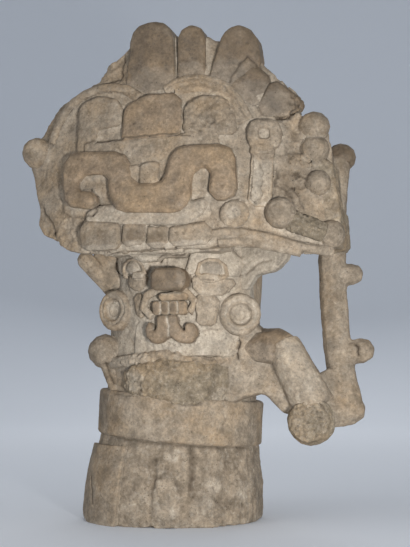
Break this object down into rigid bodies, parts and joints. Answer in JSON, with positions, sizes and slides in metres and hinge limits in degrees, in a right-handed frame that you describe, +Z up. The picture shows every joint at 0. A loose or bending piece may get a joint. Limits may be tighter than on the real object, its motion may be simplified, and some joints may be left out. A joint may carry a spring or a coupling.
{
  "type": "effigy urn",
  "caption": "Fired clay cylinder vessel fronted by a masked figure with a tall lobed headdress, ear discs, one arm and a side staff.",
  "frame": {"origin": "on the flat underside of the foot, a few millimetres beside the middle of the leaning cylinder", "axes": "+Z up along the figure, -Y the way the face looks, +X the figure's own left side, where the staff is"},
  "size_m": [0.2869, 0.1791, 0.4],
  "materials": {
    "fired_clay": "matte unglazed",
    "burnished_clay": "rubbed, faint sheen",
    "pale_clay": "matte, chalky with soil",
    "broken_clay": "rough fracture"
  },
  "bodies": {
    "root": {"arm_stump": "broken_clay", "base_band": "fired_clay", "bead_lower_inner": "fired_clay", "bead_lower_outer": "fired_clay", "bead_middle": "fired_clay", "bead_pair": "fired_clay", "brow_bar": "fired_clay", "brow_coil_left": "fired_clay", "brow_coils_right": "fired_clay", "cheek_plate_left": "fired_clay", "cheek_plate_right": "fired_clay", "chest_scar": "broken_clay", "crest_lobe_1": "burnished_clay", "crest_lobe_2": "burnished_clay", "crest_lobe_3": "burnished_clay", "crest_lobe_4": "burnished_clay", "crest_lobe_5": "burnished_clay", "ear_disc_left": "fired_clay", "ear_disc_right": "fired_clay", "eye_left": "fired_clay", "eye_right": "fired_clay", "fang_1": "burnished_clay", "fang_2": "burnished_clay", "fang_3": "burnished_clay", "fang_4": "burnished_clay", "forehead_panel_1": "fired_clay", "forehead_panel_2": "fired_clay", "forehead_panel_3": "fired_clay", "hair_left": "fired_clay", "hair_right": "fired_clay", "head_block": "pale_clay", "headdress_backing": "fired_clay", "headdress_slab": "fired_clay", "knob_left": "fired_clay", "lip_ledge": "fired_clay", "lower_eye_plate_left": "fired_clay", "lower_eye_plate_right": "fired_clay", "mouth_frame": "fired_clay", "nose_block": "burnished_clay", "pedestal_lap": "fired_clay", "pedestal_skirt": "fired_clay", "round_boss": "fired_clay", "shoulder_ball_left": "fired_clay", "shoulder_cap": "burnished_clay", "shoulder_roll": "fired_clay", "side_staff": "fired_clay", "square_boss": "fired_clay", "staff_ball": "burnished_clay", "staff_web_upper": "broken_clay", "tongue": "burnished_clay", "tooth_row": "burnished_clay", "upper_arm": "fired_clay", "upper_eye_plate_left": "fired_clay", "upper_eye_plate_right": "fired_clay", "upper_lip": "burnished_clay", "vessel_floor": "fired_clay", "vessel_wall": "fired_clay", "volute_band": "burnished_clay", "wing_hem": "fired_clay", "wing_roll": "broken_clay"}
  },
  "joints": []
}
